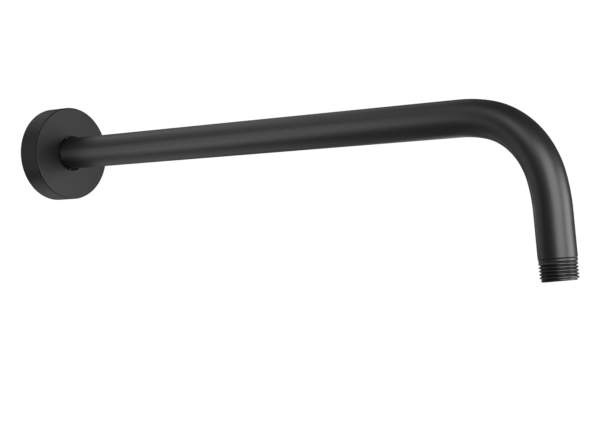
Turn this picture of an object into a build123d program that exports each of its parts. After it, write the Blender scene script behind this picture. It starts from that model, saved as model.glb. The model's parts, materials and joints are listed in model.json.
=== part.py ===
"""Wall-mounted shower arm: a bent pipe with a threaded end for the wall and one for the head,
the round flange that covers the hole in the wall, and the rubber ring that holds the flange
on the pipe.

Millimetres. +X leaves the wall along the pipe's straight run and +Z is up. The origin is on
the pipe's axis in the plane of the wall, where the flange's back rim rests.
"""

import os

from build123d import *

# Pipe
PIPE_OD = 21.3  # half-inch pipe
PIPE_WALL = 2.5
REACH = 406.4  # wall to the middle of the outlet, a 16 inch arm
EDGE_BREAK = 0.4  # bore mouths, where the burr is taken off

# Bend: a tight arc between two gentle ones, as the pipe leaves the former
BEND_TURN = 86.0
BEND_RADIUS = 47.5
LEAD_TURN = 12.0
LEAD_RADIUS = 90.0
DROP_STRAIGHT = 25.0  # from the end of the bend to the outlet's shoulder

# Threaded ends, as the plain blanks that the half-inch pipe thread is cut on
THREAD_OD = 20.955
THREAD_LEAD_IN = 0.9
INLET_THREAD = 16.0
INLET_IN_FLANGE = 2.0  # how far the inlet's shoulder stands out from the wall
OUTLET_THREAD = 12.2

# Flange: a turned cup, open towards the wall
FLANGE_OD = 63.5
FLANGE_DEPTH = 17.0
FLANGE_RIM = 2.2
FLANGE_FACE = 2.6
FACE_EDGE_ROUND = 0.8
BACK_EDGE_BREAK = 0.3
INNER_FILL = 1.0  # sloping corner between the face and the rim
PIPE_HOLE_GAP = 1.15  # all round the pipe, seen from the front as a dark line

# Rubber ring of square section, in a groove of the flange's hub
RING_SECTION = 2.6
RING_EDGE = 0.4  # sloping edges, so that it rides up on to the pipe
RING_GAP = 0.1  # to the pipe and to the groove's floor
GROOVE_SIDE_GAP = 0.15
FRONT_LIP = 2.0
BACK_LIP = 2.4
HUB_WALL = 2.5

# Sizes that follow
PIPE_R = PIPE_OD / 2
BORE_R = PIPE_R - PIPE_WALL
THREAD_R = THREAD_OD / 2
INLET_END = INLET_IN_FLANGE - INLET_THREAD
RING_MID_R = PIPE_R + RING_GAP + RING_SECTION / 2
GROOVE_R = RING_MID_R + RING_SECTION / 2 + RING_GAP
GROOVE_WIDTH = RING_SECTION + 2 * GROOVE_SIDE_GAP
RING_X = FLANGE_DEPTH - FRONT_LIP - GROOVE_WIDTH / 2
HOLE_R = PIPE_R + PIPE_HOLE_GAP
HUB_R = GROOVE_R + HUB_WALL
HUB_BACK = RING_X - GROOVE_WIDTH / 2 - BACK_LIP
FLANGE_R = FLANGE_OD / 2
FACE_BACK = FLANGE_DEPTH - FLANGE_FACE
RIM_IN_R = FLANGE_R - FLANGE_RIM


def bend_and_drop(start):
    """The pipe's axis from the start of the bend to the outlet's shoulder, in the open builder."""
    lead_in = JernArc(start, (1, 0), LEAD_RADIUS, -LEAD_TURN)
    tight = JernArc(lead_in @ 1, lead_in % 1, BEND_RADIUS, 2 * LEAD_TURN - BEND_TURN)
    lead_out = JernArc(tight @ 1, tight % 1, LEAD_RADIUS, -LEAD_TURN)
    return Line(lead_out @ 1, (lead_out @ 1) + (lead_out % 1) * DROP_STRAIGHT)


# The bend is laid out once at the origin, to find how much of the reach it takes up.
with BuildLine() as layout:
    drop = bend_and_drop((0, 0))
    outlet_offset = (drop @ 1) + (drop % 1) * OUTLET_THREAD
RUN = REACH - outlet_offset.X

with BuildPart() as shower_arm:
    # The full-size pipe, swept along its axis from shoulder to shoulder
    with BuildLine(Plane.XZ) as axis_line:
        Line((INLET_IN_FLANGE, 0), (RUN, 0))
        bend_and_drop((RUN, 0))
    pipe_axis = axis_line.wire()
    inlet_shoulder = Plane(origin=pipe_axis @ 0, z_dir=-(pipe_axis % 0))
    outlet_shoulder = Plane(origin=pipe_axis @ 1, z_dir=pipe_axis % 1)
    with BuildSketch(inlet_shoulder):
        Circle(PIPE_R)
    sweep(path=pipe_axis)

    # A turned-down blank on each end, with the lead-in that starts the thread
    for shoulder, length in ((inlet_shoulder, INLET_THREAD), (outlet_shoulder, OUTLET_THREAD)):
        with BuildSketch(shoulder):
            Circle(THREAD_R)
        extrude(amount=length)
        end_face = Plane(origin=shoulder.origin + shoulder.z_dir * length, z_dir=shoulder.z_dir)
        rim = edges().filter_by(GeomType.CIRCLE).sort_by_distance(end_face.origin)[0]
        chamfer(rim, length=THREAD_LEAD_IN)

    # The waterway, along the same axis and out through both ends
    with BuildLine(Plane.XZ) as water_line:
        Line((INLET_END, 0), (RUN, 0))
        lower = bend_and_drop((RUN, 0))
        Line(lower @ 1, (lower @ 1) + (lower % 1) * OUTLET_THREAD)
    water_axis = water_line.wire()
    with BuildSketch(Plane(origin=water_axis @ 0, z_dir=water_axis % 0)):
        Circle(BORE_R)
    sweep(path=water_axis, mode=Mode.SUBTRACT)
    for mouth in (water_axis @ 0, water_axis @ 1):
        near = edges().filter_by(GeomType.CIRCLE).filter_by(lambda e: abs(e.radius - BORE_R) < 0.01)
        chamfer(near.sort_by_distance(mouth)[0], length=EDGE_BREAK)
shower_arm.part.label = "shower_arm"

with BuildPart() as flange:
    # Half of the section, in X along the pipe and Z out from it, turned about the pipe's axis
    with BuildSketch(Plane.XZ):
        with BuildLine():
            Polyline(
                (0, RIM_IN_R),
                (0, FLANGE_R),
                (FLANGE_DEPTH, FLANGE_R),
                (FLANGE_DEPTH, HOLE_R),
                (RING_X + GROOVE_WIDTH / 2, HOLE_R),
                (RING_X + GROOVE_WIDTH / 2, GROOVE_R),
                (RING_X - GROOVE_WIDTH / 2, GROOVE_R),
                (RING_X - GROOVE_WIDTH / 2, HOLE_R),
                (HUB_BACK, HOLE_R),
                (HUB_BACK, HUB_R),
                (FACE_BACK, HUB_R),
                (FACE_BACK, RIM_IN_R),
                close=True,
            )
        make_face()
    revolve(axis=Axis.X)
    rings = edges().filter_by(GeomType.CIRCLE)
    front_edge = rings.filter_by(lambda e: e.radius > FLANGE_R - 0.01).sort_by(Axis.X)[-1]
    fillet(front_edge, radius=FACE_EDGE_ROUND)
    inner_corner = edges().filter_by(GeomType.CIRCLE)
    inner_corner = inner_corner.filter_by(lambda e: abs(e.radius - RIM_IN_R) < 0.01).sort_by(Axis.X)[-1]
    chamfer(inner_corner, length=INNER_FILL)
    breaks = edges().filter_by(GeomType.CIRCLE)
    hole_edge = breaks.filter_by(lambda e: abs(e.radius - HOLE_R) < 0.01).sort_by(Axis.X)[-1]
    back_edge = breaks.filter_by(lambda e: abs(e.radius - FLANGE_R) < 0.01).sort_by(Axis.X)[0]
    chamfer([hole_edge, back_edge], length=BACK_EDGE_BREAK)
flange.part.label = "flange"

with BuildPart() as grip_ring:
    with BuildSketch(Plane.XZ) as ring_section:
        with Locations((RING_X, RING_MID_R)):
            Rectangle(RING_SECTION, RING_SECTION)
        chamfer(ring_section.vertices(), length=RING_EDGE)
    revolve(axis=Axis.X)
grip_ring.part.label = "grip_ring"

os.makedirs("parts", exist_ok=True)
export_step(shower_arm.part, "parts/shower_arm.step")
export_step(flange.part, "parts/flange.step")
export_step(grip_ring.part, "parts/grip_ring.step")
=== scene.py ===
"""Studio picture of a matte black shower arm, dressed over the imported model.

The pipe is modelled again here with the threads cut on both of its ends.
Sizes are in millimetres, and the scene is in metres.
"""
import json
import math

import bpy
from mathutils import Matrix, Quaternion, Vector


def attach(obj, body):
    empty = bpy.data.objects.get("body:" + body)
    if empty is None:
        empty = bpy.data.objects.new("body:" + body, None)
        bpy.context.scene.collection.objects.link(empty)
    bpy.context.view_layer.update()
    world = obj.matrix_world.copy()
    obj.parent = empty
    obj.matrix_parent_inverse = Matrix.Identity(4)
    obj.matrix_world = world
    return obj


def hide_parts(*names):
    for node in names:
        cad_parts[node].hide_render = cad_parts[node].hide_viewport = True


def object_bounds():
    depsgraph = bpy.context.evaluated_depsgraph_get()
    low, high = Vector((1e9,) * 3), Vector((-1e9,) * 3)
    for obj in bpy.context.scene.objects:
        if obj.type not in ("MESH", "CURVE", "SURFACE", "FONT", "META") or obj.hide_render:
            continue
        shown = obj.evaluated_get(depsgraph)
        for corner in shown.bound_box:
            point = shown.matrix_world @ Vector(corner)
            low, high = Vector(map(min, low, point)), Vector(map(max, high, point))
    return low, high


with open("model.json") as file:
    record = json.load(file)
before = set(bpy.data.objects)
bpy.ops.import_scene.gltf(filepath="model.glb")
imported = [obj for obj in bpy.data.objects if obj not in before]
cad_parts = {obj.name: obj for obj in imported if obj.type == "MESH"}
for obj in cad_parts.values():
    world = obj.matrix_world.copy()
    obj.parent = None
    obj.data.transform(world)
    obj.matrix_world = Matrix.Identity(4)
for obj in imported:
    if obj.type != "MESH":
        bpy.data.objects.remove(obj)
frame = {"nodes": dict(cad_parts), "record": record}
cad_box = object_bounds()

MM = 0.001

# Pipe, as in the CAD
PIPE_R = 21.3 / 2
PIPE_WALL = 2.5
BORE_R = PIPE_R - PIPE_WALL
EDGE_BREAK = 0.4
REACH = 406.4
BEND_TURN = 86.0
BEND_RADIUS = 47.5
LEAD_TURN = 12.0
LEAD_RADIUS = 90.0
DROP_STRAIGHT = 25.0
INLET_SHOULDER = 2.0
INLET_THREAD = 16.0
OUTLET_THREAD = 12.2

# The bend's arcs in order: radius, turn in degrees, steps of the mesh
BEND_ARCS = (
    (LEAD_RADIUS, LEAD_TURN, 8),
    (BEND_RADIUS, BEND_TURN - 2 * LEAD_TURN, 40),
    (LEAD_RADIUS, LEAD_TURN, 8),
)

# Half-inch pipe thread, with its crests on the CAD's plain blanks
THREAD_R = frame["record"]["mounts"][0]["dims"]["r_mm"]
PITCH = 1.814
CREST_FLAT = 0.56
ROOT_FLAT = 0.1
THREAD_EDGE = 0.04  # slope that the coat leaves on its edges
FLANK_ANGLE = 27.5  # each flank, from square to the pipe
THREAD_DEPTH = (PITCH - CREST_FLAT - ROOT_FLAT) / 2 / math.tan(math.radians(FLANK_ANGLE))
LEAD_IN = THREAD_DEPTH + 0.2  # slope at the thread's end, down past its root
RUN_OUT_START = 1.1  # from the shoulder, where the thread starts to be cut
RUN_OUT_END = 3.4  # and where it reaches its full depth

# Line cut at the shoulder, where the pipe's full size ends
GROOVE_WIDTH = 0.62
GROOVE_DEPTH = 0.45
SHOULDER_ROUND = 0.35
NECK = 0.9  # from the shoulder, where the thread's blank starts

AROUND = 128  # faces round the pipe
OUTLET_THREAD_START = 101  # faces that the outlet's thread is turned by
IN_PLANE = 0.02  # how far off a plane a point may be and still count as in it
MERGE = 0.001  # how close points have to be to become one
WELD = 0.004  # the same, where the threads meet the pipe
SMOOTH_ANGLE = 28.0

# Studio, where white paper is 1
ROOM_LIGHT = 0.06  # what the room and the floor throw back on the arm
ROOM_MIRRORED = 0.1  # how bright the room is in the coat's reflections
FLOOR_MIRRORED = 0.17
WHITE = 1.03  # how bright the room and the floor are to the camera, a little over for clean white
FLOOR_SIZE = 12000
FLOOR_DROP = 2000  # about as far as a bathroom's floor is below the arm
FLOOR_SHADOW_BLUR = 4.0  # degrees, how wide the floor's own light is

# What the lamps are aimed at
RUN_MIDDLE = Vector((200, 0, 0))
BEND_MIDDLE = Vector((375, 0, -15))
DROP_MIDDLE = Vector((405, 0, -50))
FLANGE_BACK = Vector((0, 0, 0))
FLANGE_FRONT = Vector((17, 0, 0))
RUN_START = Vector((60, 0, 0))

# Strip lamp in front of the run: its place, its aim and its size, then in degrees how far it is turned
# in its own plane and how far its light fans out, which keeps it off the drop
STRIP = ((-10, -190, 0), (-10, 0, 0), (490, 190))
STRIP_TILT = 11.0
STRIP_SPREAD = 140.0

# Camera, fitted to the photograph's outline
CAMERA_AZIMUTH = 41.096
CAMERA_ELEVATION = -0.575
CAMERA_ROLL = -1.982
CAMERA_DISTANCE = 947.8
CAMERA_TARGET = Vector((225.04, 0.0, -50.36))
FOCAL_PIXELS = 1560.7
PICTURE_WIDTH = 600
SENSOR = 36.0
CLIP_END = 100000  # well past the floor

TO_WALL = Vector((-1, 0, 0))


def select_none():
    """Deselects every object, because operators act on all that is selected."""
    bpy.ops.object.select_all(action="DESELECT")


def heading(turned):
    """The pipe's direction after it has turned down by that many degrees."""
    turned = math.radians(turned)
    return Vector((math.cos(turned), 0, -math.sin(turned)))


def arcs_from(start):
    """The bend's arcs from start: each one's centre, turn and steps, and the point where it ends."""
    point = start
    turned = 0.0
    for radius, turn, steps in BEND_ARCS:
        ahead = heading(turned)
        centre = point + Vector((ahead.z, 0, -ahead.x)) * radius
        point = centre + Matrix.Rotation(math.radians(turn), 3, "Y") @ (point - centre)
        turned += turn
        yield centre, turn, steps, point


def end_of_bend(start):
    """The point of the pipe's axis where the bend from start ends."""
    *_, last = arcs_from(start)
    return last[-1]


DROP_HEADING = heading(BEND_TURN)
DROP = DROP_STRAIGHT + OUTLET_THREAD
RUN = REACH - (end_of_bend(Vector()) + DROP_HEADING * DROP).x
BEND_START = Vector((RUN, 0, 0))
BEND_END = end_of_bend(BEND_START)
INLET_POINT = Vector((INLET_SHOULDER, 0, 0))
OUTLET_POINT = BEND_END + DROP_HEADING * DROP_STRAIGHT


def push(move):
    """Extrudes the selected rim by a move in millimetres."""
    bpy.ops.mesh.extrude_edges_move(TRANSFORM_OT_translate={"value": move * MM})


def flare(centre, before, after):
    """Scales the selected rim about its centre, from one radius to another."""
    ratio = after / before
    bpy.ops.transform.resize(value=(ratio, ratio, ratio), center_override=centre * MM)


def select_rim(inside):
    """Selects the open edges whose ends are all inside."""
    bpy.ops.mesh.select_mode(type="EDGE")
    bpy.ops.mesh.select_all(action="DESELECT")
    bpy.ops.mesh.select_non_manifold(extend=False, use_wire=False, use_multi_face=False,
                                     use_non_contiguous=False, use_verts=False)
    bpy.ops.object.mode_set(mode="OBJECT")
    mesh = bpy.context.object.data
    for edge in mesh.edges:
        ends = [mesh.vertices[v].co / MM for v in edge.vertices]
        edge.select = edge.select and all(inside(p) for p in ends)
    for face in mesh.polygons:
        face.select = False
    for vertex in mesh.vertices:
        vertex.select = False
    for edge in mesh.edges:
        if edge.select:
            for v in edge.vertices:
                mesh.vertices[v].select = True
    bpy.ops.object.mode_set(mode="EDIT")


def turn_end(end, outward, radius, rings):
    """Carries the selected rim out through rings, each so far beyond the pipe's end and so wide."""
    reached = rings[0][0]
    for beyond, ring_radius in rings:
        if beyond != reached or ring_radius != radius:
            push(outward * (beyond - reached))
            flare(end + outward * beyond, radius, ring_radius)
        reached = beyond
        radius = ring_radius


def pipe_wall(name, radius, start, drop, rings):
    """An open tube along the pipe's axis, with both of its ends turned through the same rings.

    It goes from start, along X, to so far down the drop. Its straight sides stop short of both ends, at the
    first ring.
    """
    straight = -rings[0][0]
    inlet_end = Vector((start, 0, 0))
    select_none()
    bpy.ops.mesh.primitive_circle_add(
        vertices=AROUND, radius=radius * MM, location=((start + straight) * MM, 0, 0),
        rotation=(0, math.pi / 2, 0))
    wall = bpy.context.object
    wall.name = name
    bpy.ops.object.transform_apply(location=True, rotation=True, scale=True)
    bpy.ops.object.mode_set(mode="EDIT")
    bpy.ops.mesh.select_mode(type="EDGE")
    bpy.ops.mesh.select_all(action="SELECT")
    push(Vector((RUN - start - straight, 0, 0)))
    for centre, turn, steps, _ in arcs_from(BEND_START):
        bpy.ops.mesh.spin(steps=steps, angle=math.radians(turn), center=centre * MM, axis=(0, -1, 0))
    push(DROP_HEADING * (drop - straight))
    turn_end(BEND_END + DROP_HEADING * drop, DROP_HEADING, radius, rings)
    select_rim(lambda p: p.x < start + straight + IN_PLANE)
    turn_end(inlet_end, TO_WALL, radius, rings)
    bpy.ops.object.mode_set(mode="OBJECT")
    return wall


def thread_profile():
    """One pitch of the thread's section, from root to root: how deep below the crests, how far along."""
    slope = math.tan(math.radians(FLANK_ANGLE))
    crest_start = PITCH / 2 - CREST_FLAT / 2
    rising = [
        (THREAD_DEPTH, 0),
        (THREAD_DEPTH, ROOT_FLAT / 2),
        (2 * THREAD_EDGE, crest_start - 2 * THREAD_EDGE * slope),
        (0.6 * THREAD_EDGE, crest_start),
        (0, crest_start + THREAD_EDGE),
        (0, PITCH / 2),
    ]
    falling = [(deep, PITCH - along) for deep, along in reversed(rising)]
    return rising + falling[1:]


def thread_radius(deep, along, length):
    """The thread's radius, with its run-out towards the shoulder and the slope at its end."""
    cut = (along - RUN_OUT_START) / (RUN_OUT_END - RUN_OUT_START)
    cut = min(max(cut, 0.0), 1.0)
    return min(THREAD_R - deep * cut, THREAD_R - LEAD_IN + (length - along))


def cut_thread(name, length, turned):
    """A thread that runs up +Z from its shoulder at the origin, open at both ends."""
    start = NECK - 1.5 * PITCH  # below the neck all round, so that the trim leaves a whole rim
    turns = math.ceil((length - start) / PITCH) + 1
    select_none()
    bpy.ops.mesh.primitive_plane_add(size=MM)
    thread = bpy.context.object
    thread.name = name
    bpy.ops.object.mode_set(mode="EDIT")
    bpy.ops.mesh.select_mode(type="VERT")
    bpy.ops.mesh.select_all(action="SELECT")
    bpy.ops.mesh.merge(type="CENTER")
    bpy.ops.transform.translate(value=((THREAD_R - THREAD_DEPTH) * MM, 0, start * MM))
    profile = thread_profile()
    for (deep, along), (next_deep, next_along) in zip(profile, profile[1:]):
        step = Vector((deep - next_deep, 0, next_along - along))
        bpy.ops.mesh.extrude_vertices_move(TRANSFORM_OT_translate={"value": step * MM})
    bpy.ops.object.mode_set(mode="OBJECT")
    bpy.ops.object.transform_apply(location=True, rotation=True, scale=True)
    screw = thread.modifiers.new("turns", "SCREW")
    screw.axis = "Z"
    screw.angle = -2 * math.pi  # right-handed
    screw.screw_offset = PITCH * MM
    screw.iterations = turns
    screw.steps = AROUND
    screw.render_steps = AROUND
    bpy.ops.object.modifier_apply(modifier=screw.name)

    # The turns are trimmed to the thread's length and become one skin
    for vertex in thread.data.vertices:
        across = math.hypot(vertex.co.x, vertex.co.y)
        along = min(max(vertex.co.z / MM, NECK), length)
        ratio = thread_radius(THREAD_R - across / MM, along, length) * MM / across
        vertex.co = (vertex.co.x * ratio, vertex.co.y * ratio, along * MM)
    bpy.ops.object.mode_set(mode="EDIT")
    bpy.ops.mesh.select_all(action="SELECT")
    bpy.ops.mesh.remove_doubles(threshold=MERGE * MM)
    bpy.ops.mesh.dissolve_degenerate(threshold=MERGE * MM)
    bpy.ops.object.mode_set(mode="OBJECT")
    thread.data.transform(Matrix.Rotation(2 * math.pi / AROUND * turned, 4, "Z"))
    return thread


def set_on(thread, point, direction):
    """Moves a finished thread to its shoulder's place on the pipe."""
    turn = Vector((0, 0, 1)).rotation_difference(direction).to_matrix().to_4x4()
    thread.data.transform(Matrix.Translation(point * MM) @ turn)


def weld_rims(point, direction):
    """Joins the two open rims that meet in the plane at a point of the pipe's axis."""
    select_rim(lambda p: abs((p - point).dot(direction)) < IN_PLANE)
    bpy.ops.mesh.remove_doubles(threshold=WELD * MM)


def close_end(point, direction):
    """Carries the thread's last rim in to the bore's mouth, in the plane of the pipe's end."""
    mouth = BORE_R + EDGE_BREAK
    thread_end = THREAD_R - LEAD_IN
    between = (thread_end + mouth) / 2
    select_rim(lambda p: abs((p - point).dot(direction)) < IN_PLANE and (p - point).length > between)
    push(Vector())
    flare(point, thread_end, mouth)
    weld_rims(point, direction)


def model_pipe():
    """The pipe with its bore and both threads, as one closed skin."""
    # The shoulder's edge is rounded in three steps, and the line cut beside it is a V
    shoulder_rings = (
        (-SHOULDER_ROUND, PIPE_R),
        (-0.6 * SHOULDER_ROUND, PIPE_R - 0.03 * SHOULDER_ROUND),
        (-0.25 * SHOULDER_ROUND, PIPE_R - 0.14 * SHOULDER_ROUND),
        (0, PIPE_R - 0.4 * SHOULDER_ROUND),
        (GROOVE_WIDTH / 2, PIPE_R - GROOVE_DEPTH),
        (GROOVE_WIDTH, THREAD_R),
        (NECK, THREAD_R),
    )
    mouth_rings = ((-EDGE_BREAK, BORE_R), (0, BORE_R + EDGE_BREAK))
    outside = pipe_wall("pipe", PIPE_R, INLET_SHOULDER, DROP_STRAIGHT, shoulder_rings)
    bore = pipe_wall("bore", BORE_R, INLET_SHOULDER - INLET_THREAD, DROP, mouth_rings)
    inlet = cut_thread("inlet_thread", INLET_THREAD, 0)
    set_on(inlet, INLET_POINT, TO_WALL)
    outlet = cut_thread("outlet_thread", OUTLET_THREAD, OUTLET_THREAD_START)
    set_on(outlet, OUTLET_POINT, DROP_HEADING)
    select_none()
    for part in (inlet, outlet, bore, outside):
        part.select_set(True)
    bpy.context.view_layer.objects.active = outside
    bpy.ops.object.join()
    bpy.ops.object.mode_set(mode="EDIT")
    weld_rims(INLET_POINT + TO_WALL * NECK, TO_WALL)
    weld_rims(OUTLET_POINT + DROP_HEADING * NECK, DROP_HEADING)
    close_end(INLET_POINT + TO_WALL * INLET_THREAD, TO_WALL)
    close_end(OUTLET_POINT + DROP_HEADING * OUTLET_THREAD, DROP_HEADING)
    bpy.ops.mesh.select_all(action="SELECT")
    bpy.ops.mesh.normals_make_consistent(inside=False)
    bpy.ops.object.mode_set(mode="OBJECT")
    bpy.ops.object.shade_smooth_by_angle(angle=math.radians(SMOOTH_ANGLE))
    return outside


def linear(hex_colour):
    """An sRGB hex colour as linear RGBA."""
    out = []
    for i in (1, 3, 5):
        c = int(hex_colour[i:i + 2], 16) / 255
        out.append(c / 12.92 if c <= 0.04045 else ((c + 0.055) / 1.055) ** 2.4)
    return (*out, 1.0)


def add_node(tree, kind, settings=None, inputs=None, links=None):
    """Adds a node with its settings, its socket values and its links from other sockets."""
    node = tree.nodes.new(kind)
    for key, value in (settings or {}).items():
        setattr(node, key, value)
    for key, value in (inputs or {}).items():
        node.inputs[key].default_value = value
    for key, socket in (links or {}).items():
        tree.links.new(socket, node.inputs[key])
    return node


def new_material(name):
    """An empty node material, and its node tree."""
    material = bpy.data.materials.new(name)
    material.use_nodes = True
    material.node_tree.nodes.clear()
    return material, material.node_tree


def black_coat():
    """Matte black powder coat, baked on metal: a dark skin with a soft wide sheen.

    The powder flows out with a faint orange peel, and its sheen is a little uneven. Its grain is finer
    than a pixel, so it is drawn about four times as coarse.
    """
    material, tree = new_material("matte_black_powder_coat")
    place = add_node(tree, "ShaderNodeTexCoord")
    peel_size = 1.6 * MM
    grain_size = 0.4 * MM
    peel = add_node(tree, "ShaderNodeTexNoise", None,
                    {"Scale": 1 / peel_size, "Detail": 2.0, "Roughness": 0.5},
                    {"Vector": place.outputs["Object"]})
    grain = add_node(tree, "ShaderNodeTexNoise", None,
                     {"Scale": 1 / grain_size, "Detail": 1.0, "Roughness": 0.5},
                     {"Vector": place.outputs["Object"]})
    sheen = add_node(tree, "ShaderNodeMapRange", None,
                     {"From Min": 0.3, "From Max": 0.7, "To Min": 0.37, "To Max": 0.43},
                     {"Value": grain.outputs["Fac"]})
    bump = add_node(tree, "ShaderNodeBump", None, {"Strength": 0.06, "Distance": 0.05 * MM},
                    {"Height": peel.outputs["Fac"]})
    coat = add_node(tree, "ShaderNodeBsdfPrincipled", None, {"Base Color": linear("#121212"), "IOR": 1.55},
                    {"Roughness": sheen.outputs["Result"], "Normal": bump.outputs["Normal"]})
    add_node(tree, "ShaderNodeOutputMaterial", None, None, {"Surface": coat.outputs["BSDF"]})
    return material


def rubber():
    """Moulded black rubber, dull, with the fine skin that the mould's spark-worn steel leaves on it."""
    material, tree = new_material("moulded_black_rubber")
    place = add_node(tree, "ShaderNodeTexCoord")
    skin_size = 0.3 * MM
    pits = add_node(tree, "ShaderNodeTexNoise", None,
                    {"Scale": 1 / skin_size, "Detail": 2.0, "Roughness": 0.6},
                    {"Vector": place.outputs["Object"]})
    dullness = add_node(tree, "ShaderNodeMapRange", None,
                        {"From Min": 0.3, "From Max": 0.7, "To Min": 0.55, "To Max": 0.68},
                        {"Value": pits.outputs["Fac"]})
    bump = add_node(tree, "ShaderNodeBump", None, {"Strength": 0.2, "Distance": 0.03 * MM},
                    {"Height": pits.outputs["Fac"]})
    skin = add_node(tree, "ShaderNodeBsdfPrincipled", None, {"Base Color": linear("#101010"), "IOR": 1.52},
                    {"Roughness": dullness.outputs["Result"], "Normal": bump.outputs["Normal"]})
    add_node(tree, "ShaderNodeOutputMaterial", None, None, {"Surface": skin.outputs["BSDF"]})
    return material


def white_studio(tree, looked_at, mirrored, output):
    """Gives the floor or the world a shader to be looked at, and a dim white that falls on the arm."""
    path = add_node(tree, "ShaderNodeLightPath")
    seen = add_node(tree, "ShaderNodeMath", {"operation": "MAXIMUM"}, None,
                    {0: path.outputs["Is Camera Ray"], 1: path.outputs["Is Transmission Ray"]})
    level = add_node(tree, "ShaderNodeMath", {"operation": "MULTIPLY_ADD"},
                     {1: mirrored - ROOM_LIGHT, 2: ROOM_LIGHT}, {0: path.outputs["Is Glossy Ray"]})
    dim = add_node(tree, "ShaderNodeEmission", None, {"Color": linear("#ffffff")},
                   {"Strength": level.outputs[0]})
    mix = add_node(tree, "ShaderNodeMixShader", None, None,
                   {0: seen.outputs[0], 1: dim.outputs[0], 2: looked_at.outputs[0]})
    add_node(tree, output, None, None, {"Surface": mix.outputs[0]})


def light_group(name, *pieces):
    """What a lamp falls on, as with flags set up round it."""
    group = bpy.data.collections.new("light_on_" + name)
    for piece in pieces:
        group.objects.link(piece)
    return group


def studio():
    """A white floor well below the arm, which takes its shadow, and a white room round it."""
    select_none()
    bpy.ops.mesh.primitive_plane_add(
        size=FLOOR_SIZE * MM, location=(RUN_MIDDLE.x * MM, 0, cad_box[0].z - FLOOR_DROP * MM))
    floor = bpy.context.object
    floor.name = "floor"
    material, tree = new_material("white_studio_floor")
    paint = add_node(tree, "ShaderNodeBsdfDiffuse", None, {"Color": linear("#ffffff")})
    white_studio(tree, paint, FLOOR_MIRRORED, "ShaderNodeOutputMaterial")
    floor.data.materials.append(material)

    world = bpy.data.worlds.new("studio")
    bpy.context.scene.world = world
    world.use_nodes = True
    tree = world.node_tree
    tree.nodes.clear()
    white = add_node(tree, "ShaderNodeEmission", None, {"Color": linear("#ffffff"), "Strength": WHITE})
    white_studio(tree, white, ROOM_MIRRORED, "ShaderNodeOutputWorld")

    # The floor has a light of its own, so that it is white and shows the shadow
    data = bpy.data.lights.new("floor_light", "SUN")
    data.energy = WHITE * math.pi
    data.angle = math.radians(FLOOR_SHADOW_BLUR)
    floor_light = bpy.data.objects.new("floor_light", data)
    bpy.context.scene.collection.objects.link(floor_light)
    floor_light.light_linking.receiver_collection = light_group("floor", floor)


def lamp(name, falls_on, place, aim, size, brightness, tilt=0.0, spread=180.0):
    """A soft box that faces its aim.

    Its face looks as bright as white paper at a brightness of 1, when its light fans out all the way. In
    degrees, the tilt turns the box in its own plane and the spread is how far its light fans out.
    """
    data = bpy.data.lights.new(name, "AREA")
    data.shape = "RECTANGLE"
    data.size = size[0] * MM
    data.size_y = size[1] * MM
    data.spread = math.radians(spread)
    data.energy = brightness * math.pi * data.size * data.size_y
    box = bpy.data.objects.new(name, data)
    bpy.context.scene.collection.objects.link(box)
    box.location = Vector(place) * MM
    facing = (Vector(aim) - Vector(place)).to_track_quat("-Z", "Y")
    box.rotation_euler = (facing @ Quaternion((0, 0, 1), math.radians(tilt))).to_euler()
    box.visible_camera = False
    box.light_linking.receiver_collection = falls_on
    return box


def pass_by(box, piece):
    """The piece doesn't stop this lamp's light, so it reaches what the piece would hide from it."""
    passed = bpy.data.collections.new(box.name + "_passes")
    passed.objects.link(piece)
    passed.collection_objects[0].light_linking.link_state = "EXCLUDE"
    box.light_linking.blocker_collection = passed


def photo_camera():
    """The camera that the photograph's outline gave."""
    azimuth = math.radians(CAMERA_AZIMUTH)
    elevation = math.radians(CAMERA_ELEVATION)
    back = Vector((math.sin(azimuth) * math.cos(elevation),
                   -math.cos(azimuth) * math.cos(elevation), math.sin(elevation)))
    data = bpy.data.cameras.new("camera")
    data.sensor_width = SENSOR
    data.lens = FOCAL_PIXELS * SENSOR / PICTURE_WIDTH
    data.clip_end = CLIP_END * MM
    camera = bpy.data.objects.new("camera", data)
    bpy.context.scene.collection.objects.link(camera)
    camera.location = (CAMERA_TARGET + back * CAMERA_DISTANCE) * MM
    level = (-back).to_track_quat("-Z", "Y").to_matrix()
    camera.rotation_euler = (level @ Matrix.Rotation(math.radians(CAMERA_ROLL), 3, "Z")).to_euler()
    bpy.context.scene.camera = camera


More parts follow.
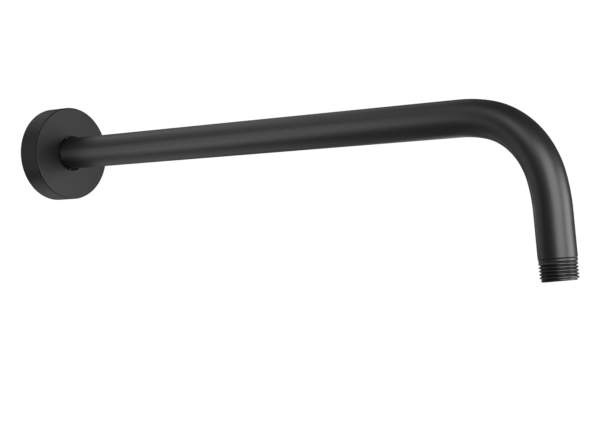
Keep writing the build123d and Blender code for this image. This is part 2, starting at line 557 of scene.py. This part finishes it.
coat = black_coat()
pipe = model_pipe()
pipe.data.materials.clear()
pipe.data.materials.append(coat)
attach(pipe, "arm")
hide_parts("shower_arm")
flange = frame["nodes"]["flange"]
grip_ring = frame["nodes"]["grip_ring"]
for node, material in ((flange, coat), (grip_ring, rubber())):
    node.data.materials.clear()
    node.data.materials.append(material)

studio()
on_pipe = light_group("pipe", pipe)
on_flange = light_group("flange", flange)
on_arm = light_group("arm", pipe, flange, grip_ring)

# The two broad highlights down the drop, and the one that goes round the bend
lamp("right_front_box", on_pipe, (952, -350, 120), DROP_MIDDLE, (600, 820), 4.85)
lamp("right_side_box", on_arm, (979, 305, -70), DROP_MIDDLE, (500, 600), 5.7)
lamp("bend_box", on_pipe, (420, -525, 438), BEND_MIDDLE, (350, 350), 2.0)

# The highlight along the run, part of which goes past the flange to the pipe close to it
lamp("run_strip", on_pipe, *STRIP, 0.62, STRIP_TILT, STRIP_SPREAD)
near_strip = lamp("near_strip", on_pipe, *STRIP, 0.50, STRIP_TILT, STRIP_SPREAD)
pass_by(near_strip, flange)
lamp("run_end_box", on_pipe, (-70, -190, -125), RUN_START, (180, 130), 1.1)

# The flange's side and its face
lamp("left_front_box", on_flange, (-311, -378, 20), RUN_MIDDLE, (250, 620), 0.52)
lamp("edge_box", on_flange, (1300, -60, 0), FLANGE_FRONT, (350, 350), 6.9)

# Soft light from above and below, along the pipe's two edges
lamp("top_front_box", on_arm, (-10, -520, 720), RUN_MIDDLE, (800, 600), 0.55)
lamp("left_high_box", on_pipe, (-350, -100, 400), RUN_START, (450, 430), 0.48)
lamp("left_back_box", on_pipe, (-391, 263, 625), RUN_MIDDLE, (700, 500), 0.47)
lamp("flange_top_box", on_flange, (-430, -20, 540), FLANGE_BACK, (700, 400), 0.42)
lamp("left_low_box", on_arm, (-250, 60, -350), (100, 0, 0), (420, 300), 0.44)

# The sides that face away from the photograph's camera
lamp("back_box", on_arm, (120, 760, -620), RUN_MIDDLE, (900, 600), 1.5)
lamp("wall_side_box", on_arm, (-900, 150, 120), FLANGE_BACK, (360, 460), 2.6)

photo_camera()
bpy.context.scene.view_settings.view_transform = "Standard"
